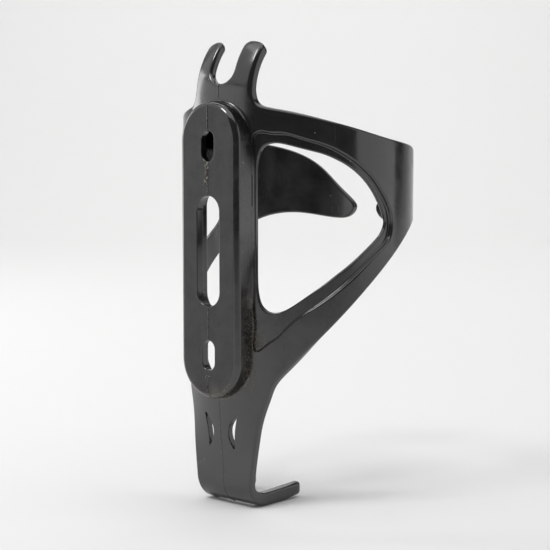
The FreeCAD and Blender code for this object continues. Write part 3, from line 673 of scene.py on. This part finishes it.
def open_rings(faces):
    """The rings of points round the open edges of a set of faces, in the order that closes them."""
    pairs = {(face[i], face[(i + 1) % len(face)]) for face in faces for i in range(len(face))}
    onward, rings = {}, []
    for a, b in sorted(pairs):
        if (b, a) not in pairs:
            onward.setdefault(b, []).append(a)
    while onward:
        ring = [min(onward)]
        while ring:
            ways = onward.get(ring[-1])
            if not ways:
                ring.pop()
                continue
            ahead = ways.pop()
            if not ways:
                del onward[ring[-1]]
            if ahead in ring:
                cut = ring.index(ahead)
                rings.append(ring[cut:])
                del ring[cut + 1 :]
            else:
                ring.append(ahead)
    return rings


END_SUNK = [0.96, 0.96, 0.6]  # an end wall's size, smaller than the cut so that it lies inside the sheet


def piece_of(name, chosen, material):
    """A closed piece made of the shell's chosen faces, with an end wall where it meets a neighbour."""
    faces = [shell.faces[i] for i in np.nonzero(chosen)[0]]
    used = sorted({i for face in faces for i in face})
    table = {old: new for new, old in enumerate(used)}
    faces = [tuple(table[i] for i in face) for face in faces]
    flat, normals = flat_points[used], flat_normals[used]
    for ring in open_rings(faces):
        middle = flat[ring].mean(axis=0)
        sunk = middle + (flat[ring] - middle) * END_SUNK
        first, count = len(flat), len(ring)
        flat, normals = np.vstack([flat, sunk]), np.vstack([normals, normals[ring]])
        for i in range(count):
            j = (i + 1) % count
            faces.append((ring[i], ring[j], first + j, first + i))
        faces.append(tuple(range(first, first + count)))
    made = mesh_object(name, [Vector(p) * MM for p in wrap(flat)], faces, material)
    made.data.polygons.foreach_set("use_smooth", [True] * len(faces))
    made.data.normals_split_custom_set_from_vertices([tuple(n) for n in turned_normals(wrap, flat, normals)])
    hold_dust(made, shell_dust(flat))
    return made


# where the shell is divided: each cut crosses a member from edge to edge, clear of its neighbours
middles = np.array([flat_points[list(face)].mean(axis=0) for face in shell.faces])
along, up = np.abs(middles[:, 0]), middles[:, 1]
NECK_CUT, TONGUE_CUT, FOOT_CUT, ARM_LOWEST = 46.0, -46.5, -66.0, -44.5
SEAM_OUT, SEAM_FLARE, FLARE_FROM = 0.3, 0.22, -29.0
root_seam = edge_s + SEAM_OUT + SEAM_FLARE * np.maximum(FLARE_FROM - up, 0)
in_arm = (along > root_seam) & (up > ARM_LOWEST)
in_neck = ~in_arm & (up > NECK_CUT)
in_foot = up <= FOOT_CUT
in_tongue = ~in_arm & ~in_foot & (up < TONGUE_CUT)
in_spine = ~(in_arm | in_neck | in_foot | in_tongue)
for name, chosen, node_name in (
    ("spine", in_spine, "spine_plate"),
    ("neck_ears", in_neck, "neck_fork"),
    ("slotted_tongue", in_tongue, "tongue"),
    ("bottle_foot", in_foot, "foot_fork"),
):
    made = piece_of(name, chosen, gloss)
    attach(made, "frame_plate")
    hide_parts(node_name)
for side, sign in (("right", 1), ("left", -1)):
    made = piece_of(f"{side}_bottle_arm", in_arm & (middles[:, 0] * sign > 0), gloss)
    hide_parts(f"{side}_arm", f"{side}_window_rim")
    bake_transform(made)


# ---------------------------------------------------------------------------
# The mounting pad: the long block that bolts to the bicycle frame, moulded in
# one with the shell. Its flat face was left matt by the mould; it has a slot
# for each bolt, with room for the bolt's head, and a lightening slot between.
# ---------------------------------------------------------------------------
PAD_HALF, PAD_END, PAD_ROUND, SEAT = 12.0, 45.5, 1.95, 0.3
BOLT_Z, BOLT_SLOT, HEAD_RECESS, BOLT_WEB = 32.0, (5.1, 9.2), (10.6, 15.0), 2.4
CENTRE_SLOT, CENTRE_RECESS, CENTRE_STEP = (9.3, 33.8), (11.12, 37.0), 2.76


def slot_line(width, length, middle=0.0):
    r, reach = width / 2, length / 2 - width / 2
    return np.vstack([arc((0, middle + reach), r, 0, 180), arc((0, middle - reach), r, 180, 360)])


def pad_place(flat):
    """Flat pad points (x, z, depth) in mm, stretched in depth so that STAND lies on the shell."""
    x, z, d = flat[:, 0], flat[:, 1], flat[:, 2]
    shell_y = AXIS_Y - np.sqrt(SHELL_R**2 - x**2)
    start = PAD_ROUND + 0.1
    y = np.where(d < start, d, start + (d - start) * (shell_y - start) / (STAND - start))
    return np.stack([x, y, z], axis=1)


PAD_SPACING = 1.5
pad = Sheet()
pad_loop = facing_left(slot_line(2 * PAD_HALF, 2 * PAD_END), RING_STEP, hole=False)
# the corner between the pad's round ends and the shell is coved, and its sides run on flush
ends = ease(np.abs(pad_loop[:, 1]), 37.0, 41.0)
foot_cove = 0.02 + 0.78 * ends
outer_rings = pad.edge(
    pad_loop,
    list(round_over(PAD_ROUND, 9))
    + [(0.0, PAD_ROUND + 0.1, -1.0, 0.0)]
    + list(cove(foot_cove, STAND, 6))
    + [(-foot_cove, STAND + SEAT, -1.0, 0.0), (0.3, STAND + SEAT, 0.0, 1.0)],
)
face_holes, seat_holes = [], []
for opening, recess, depth, middle in (
    (CENTRE_SLOT, CENTRE_RECESS, CENTRE_STEP, 0.0),
    (BOLT_SLOT, HEAD_RECESS, BOLT_WEB, BOLT_Z),
    (BOLT_SLOT, HEAD_RECESS, BOLT_WEB, -BOLT_Z),
):
    mouth = pad.edge(
        facing_left(slot_line(*opening, middle), 0.4, hole=True),
        list(round_over(0.3, 4)) + list(round_under(0.25, depth, 4)),
    )
    pocket = pad.edge(
        facing_left(slot_line(*recess, middle), 0.5, hole=True),
        [(i, depth + (depth - d), n, -m) for i, d, n, m in list(cove(0.3, depth))[::-1]]
        + list(round_under(0.3, STAND + SEAT, 4)),
    )
    pad.fill(pocket[0], [mouth[-1]], lambda p: depth, LIP_SPACING, facing_out=False)
    face_holes.append(mouth[0])
    seat_holes.append(pocket[-1])
pad.fill(outer_rings[0], face_holes, lambda p: 0.0, PAD_SPACING, facing_out=True)
pad.fill(outer_rings[-1], seat_holes, lambda p: STAND + SEAT, PAD_SPACING, facing_out=False)

# The same plastic from a spark-eroded part of the mould: matt, finely grained and a little greyer,
# with rubbed patches and dust towards the lower end.
satin, tree, shader, place = new_material("moulded_polypropylene_matt")
shader.inputs["IOR"].default_value = 1.49
rubbed = node(tree, "ShaderNodeTexNoise", {"Scale": 160.0, "Detail": 5.0, "Roughness": 0.6}, Vector=place)
# the mould's grain, about 0.45 mm, coarser than the real one so that it shows
grain = node(tree, "ShaderNodeTexNoise", {"Scale": 2200.0, "Detail": 2.0}, Vector=place)
shade = node(
    tree, "ShaderNodeMapRange", {"From Min": 0.3, "From Max": 0.7}, Value=rubbed.outputs["Fac"]
)
tone = node(
    tree, "ShaderNodeMixRGB", {"Color1": (*linear("#252526"), 1), "Color2": (*linear("#303031"), 1)},
    Fac=shade.outputs["Result"],
)
pale = node(
    tree, "ShaderNodeMapRange", {"From Min": 0.6, "From Max": 0.78}, Value=grain.outputs["Fac"]
)
tone = node(
    tree, "ShaderNodeMixRGB", {"Color2": (*linear("#4c4b49"), 1)},
    Fac=pale.outputs["Result"], Color1=tone.outputs["Color"],
)
held = node(tree, "ShaderNodeAttribute", {"attribute_name": "dust"})
patchy = node(
    tree, "ShaderNodeMapRange", {"From Min": 0.42, "From Max": 0.62}, Value=rubbed.outputs["Fac"]
)
dust = node(
    tree, "ShaderNodeMath", {"operation": "MULTIPLY"}, in0=held.outputs["Fac"], in1=patchy.outputs["Result"]
)
tone = node(
    tree, "ShaderNodeMixRGB", {"Color2": (*linear("#62594a"), 1)},
    Fac=dust.outputs["Value"], Color1=tone.outputs["Color"],
)
tree.links.new(tone.outputs["Color"], shader.inputs["Base Color"])
matt = node(
    tree, "ShaderNodeMapRange", {"From Min": 0.3, "From Max": 0.7, "To Min": 0.58, "To Max": 0.44},
    Value=rubbed.outputs["Fac"],
)
tree.links.new(matt.outputs["Result"], shader.inputs["Roughness"])
bump = node(tree, "ShaderNodeBump", {"Strength": 0.35, "Distance": 0.00005}, Height=grain.outputs["Fac"])
tree.links.new(bump.outputs["Normal"], shader.inputs["Normal"])

flat_pad, pad_normals = np.array(pad.points), np.array(pad.normals)
made = mesh_object("bolt_pad", [Vector(p) * MM for p in pad_place(flat_pad)], pad.faces, satin)
made.data.materials.append(gloss)
made.data.polygons.foreach_set("use_smooth", [True] * len(pad.faces))
made.data.normals_split_custom_set_from_vertices(
    [tuple(n) for n in turned_normals(pad_place, flat_pad, pad_normals)]
)
for polygon in made.data.polygons:
    polygon.material_index = 0 if abs(polygon.normal.y) > 0.97 and polygon.center.y < 0.001 else 1
depth = flat_pad[:, 2]
low_end = 0.45 * ease(-flat_pad[:, 1], 37.0, 45.0) * ease(-depth, -2.5, -0.5)
foot_line = 0.45 * ease(depth, 3.9, 4.7) * ease(-flat_pad[:, 1], 0.0, 25.0)
hold_dust(made, np.clip(low_end + foot_line, 0, 1))
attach(made, "frame_plate")
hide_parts("mounting_pad")


# ---------------------------------------------------------------------------
# The parting flash: the thin ragged ridge of plastic that squeezed out where the
# two halves of the mould met, down the middle of the pad, the tongue and the neck.
# It is part of the moulding and was left untrimmed.
# ---------------------------------------------------------------------------
FLASH_WIDTH, FLASH_RAG, FLASH_SINK, FLASH_STEP = 0.42, 0.5, 0.06, 0.55


def flash_run(place_of, low, high):
    """Points every FLASH_STEP mm down the middle of a surface, a little below it."""
    z = np.linspace(high, low, max(2, int((high - low) / FLASH_STEP)))
    return place_of(np.stack([np.zeros_like(z), z, np.full_like(z, FLASH_SINK)], axis=1))


def over_pad_end(x, z):
    """Points of the pad's face and of the rounding at its ends, a little below the surface."""
    past = np.clip(np.abs(z) - (PAD_END - PAD_ROUND), 0, 0.96 * PAD_ROUND)
    return np.stack([x, PAD_ROUND - np.sqrt(PAD_ROUND**2 - past**2) + FLASH_SINK, z], axis=1)


# the ridge runs out over the pad's ends, and has a small hook above the lower one
HOOK_X, HOOK_Z, HOOK_R, SWAY, PAD_REACH = -0.25, -39.3, 1.0, 0.35, 45.3
hook = arc((HOOK_X, HOOK_Z), HOOK_R, 200, 20)[::3]
tail = np.linspace(HOOK_Z + 0.4, -PAD_REACH, 14)
runs = [
    flash_run(pad_place, 17.4, 26.9),
    flash_run(pad_place, -26.9, -17.4),
    over_pad_end(np.zeros(16), np.linspace(PAD_REACH, 37.1, 16)),
    over_pad_end(hook[:, 0], hook[:, 1]),
    over_pad_end(SWAY * np.sin((tail - HOOK_Z) * 0.9) + HOOK_X, tail),
    flash_run(wrap, -82.0, -46.6),
    flash_run(wrap, 46.4, 50.4),
]
points, edges = [], []
for run in runs:
    edges += [(len(points) + i, len(points) + i + 1) for i in range(len(run) - 1)]
    points += [Vector(p) * MM for p in run]
path = bpy.data.meshes.new("parting_line")
path.from_pydata(points, edges, [])
flash = bpy.data.objects.new("parting_flash", path)
scene.collection.objects.link(flash)

ridge = bpy.data.node_groups.new("ragged_ridge", "GeometryNodeTree")
for name, kind in (
    ("Geometry", "Geometry"), ("Width", "Float"), ("Raggedness", "Float"), ("Step", "Float"),
    ("Seed", "Float"), ("Material", "Material"),
):
    ridge.interface.new_socket(name, in_out="INPUT", socket_type=f"NodeSocket{kind}")
ridge.interface.new_socket("Geometry", in_out="OUTPUT", socket_type="NodeSocketGeometry")
given = node(ridge, "NodeGroupInput")
curve = node(ridge, "GeometryNodeMeshToCurve", Mesh=given.outputs["Geometry"])
even = node(ridge, "GeometryNodeResampleCurve", {"mode": "LENGTH"}, Curve=curve.outputs["Curve"])
ridge.links.new(given.outputs["Step"], even.inputs["Length"])
where = node(ridge, "GeometryNodeInputPosition")
rag = node(
    ridge, "ShaderNodeTexNoise", {"noise_dimensions": "4D", "Scale": 900.0, "Detail": 2.0},
    Vector=where.outputs["Position"], W=given.outputs["Seed"],
)
swing = node(ridge, "ShaderNodeMath", {"operation": "SUBTRACT", 1: 0.5}, in0=rag.outputs["Fac"])
swing = node(
    ridge, "ShaderNodeMath", {"operation": "MULTIPLY"},
    in0=swing.outputs["Value"], in1=given.outputs["Raggedness"],
)
aside = node(ridge, "ShaderNodeCombineXYZ", X=swing.outputs["Value"])
moved = node(
    ridge, "GeometryNodeSetPosition", Geometry=even.outputs["Curve"], Offset=aside.outputs["Vector"]
)
round_bar = node(ridge, "GeometryNodeCurvePrimitiveCircle", {"Resolution": 8})
half = node(ridge, "ShaderNodeMath", {"operation": "MULTIPLY", 1: 0.5}, in0=given.outputs["Width"])
ridge.links.new(half.outputs["Value"], round_bar.inputs["Radius"])
solid = node(
    ridge, "GeometryNodeCurveToMesh", {"Fill Caps": True},
    Curve=moved.outputs["Geometry"], Profile_Curve=round_bar.outputs["Curve"],
)
real = node(ridge, "GeometryNodeRealizeInstances", Geometry=solid.outputs["Mesh"])
painted = node(
    ridge, "GeometryNodeSetMaterial", Geometry=real.outputs["Geometry"], Material=given.outputs["Material"]
)
node(ridge, "NodeGroupOutput", Geometry=painted.outputs["Geometry"])

maker = flash.modifiers.new("ridge", "NODES")
maker.node_group = ridge
sockets = {item.name: item.identifier for item in ridge.interface.items_tree if item.in_out == "INPUT"}
for name, value in (
    ("Width", FLASH_WIDTH * MM), ("Raggedness", FLASH_RAG * MM), ("Step", FLASH_STEP * MM), ("Seed", 4.0),
    ("Material", gloss),
):
    maker[sockets[name]] = value
finished = bpy.data.meshes.new_from_object(flash.evaluated_get(bpy.context.evaluated_depsgraph_get()))
flash.modifiers.remove(maker)
flash.data = finished
flash.data.polygons.foreach_set("use_smooth", [True] * len(finished.polygons))
hold_dust(flash, np.full(len(finished.vertices), 0.35))
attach(flash, "frame_plate")


# ---------------------------------------------------------------------------
# The gate scar: torn crumbs of plastic where the runner that fed the mould was
# broken off, between the upper bolt slot and the centre slot.
# ---------------------------------------------------------------------------
SCAR_TOP, SCAR_LOW, CRUMBS, CRUMB_SIDES = (-0.1, 27.0), (-0.75, 20.3), 15, 7

# torn polypropylene, whitened where it stretched before it broke
torn, tree, shader, place = new_material("torn_polypropylene")
shader.inputs["IOR"].default_value = 1.49
stretched = node(tree, "ShaderNodeTexNoise", {"Scale": 2400.0, "Detail": 2.0}, Vector=place)
shade = node(
    tree, "ShaderNodeMapRange", {"From Min": 0.38, "From Max": 0.66}, Value=stretched.outputs["Fac"]
)
tone = node(
    tree, "ShaderNodeMixRGB", {"Color1": (*linear("#2b2a28"), 1), "Color2": (*linear("#8d867a"), 1)},
    Fac=shade.outputs["Result"],
)
tree.links.new(tone.outputs["Color"], shader.inputs["Base Color"])
gleam = node(
    tree, "ShaderNodeMapRange", {"To Min": 0.55, "To Max": 0.25}, Value=stretched.outputs["Fac"]
)
tree.links.new(gleam.outputs["Result"], shader.inputs["Roughness"])

rng = np.random.default_rng(7)
points, faces = [], []
for crumb in range(CRUMBS):
    share = (crumb + 0.5) / CRUMBS
    x = SCAR_TOP[0] + (SCAR_LOW[0] - SCAR_TOP[0]) * share + rng.uniform(-0.6, 0.6)
    z = SCAR_TOP[1] + (SCAR_LOW[1] - SCAR_TOP[1]) * share
    wide, tall, thick = rng.uniform(0.2, 0.5), rng.uniform(0.25, 0.6), rng.uniform(0.12, 0.32)
    first = len(points)
    for spread, rise in ((1.0, -0.08), (0.85, 0.6), (0.35, 1.0)):
        for i in range(CRUMB_SIDES):
            a = 2 * math.pi * (i + rng.uniform(-0.3, 0.3)) / CRUMB_SIDES
            out = spread * rng.uniform(0.8, 1.15)
            height = rise * thick * rng.uniform(0.75, 1.1) if rise > 0 else rise
            points.append(Vector((x + wide * out * math.cos(a), -height, z + tall * out * math.sin(a))) * MM)
    for k in range(2):
        for i in range(CRUMB_SIDES):
            j = (i + 1) % CRUMB_SIDES
            low, high = first + k * CRUMB_SIDES, first + (k + 1) * CRUMB_SIDES
            faces.append((low + i, low + j, high + j, high + i))
    faces.append(tuple(range(first, first + CRUMB_SIDES))[::-1])
    faces.append(tuple(range(first + 2 * CRUMB_SIDES, first + 3 * CRUMB_SIDES)))
scar = mesh_object("gate_scar", points, faces, torn)
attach(scar, "frame_plate")
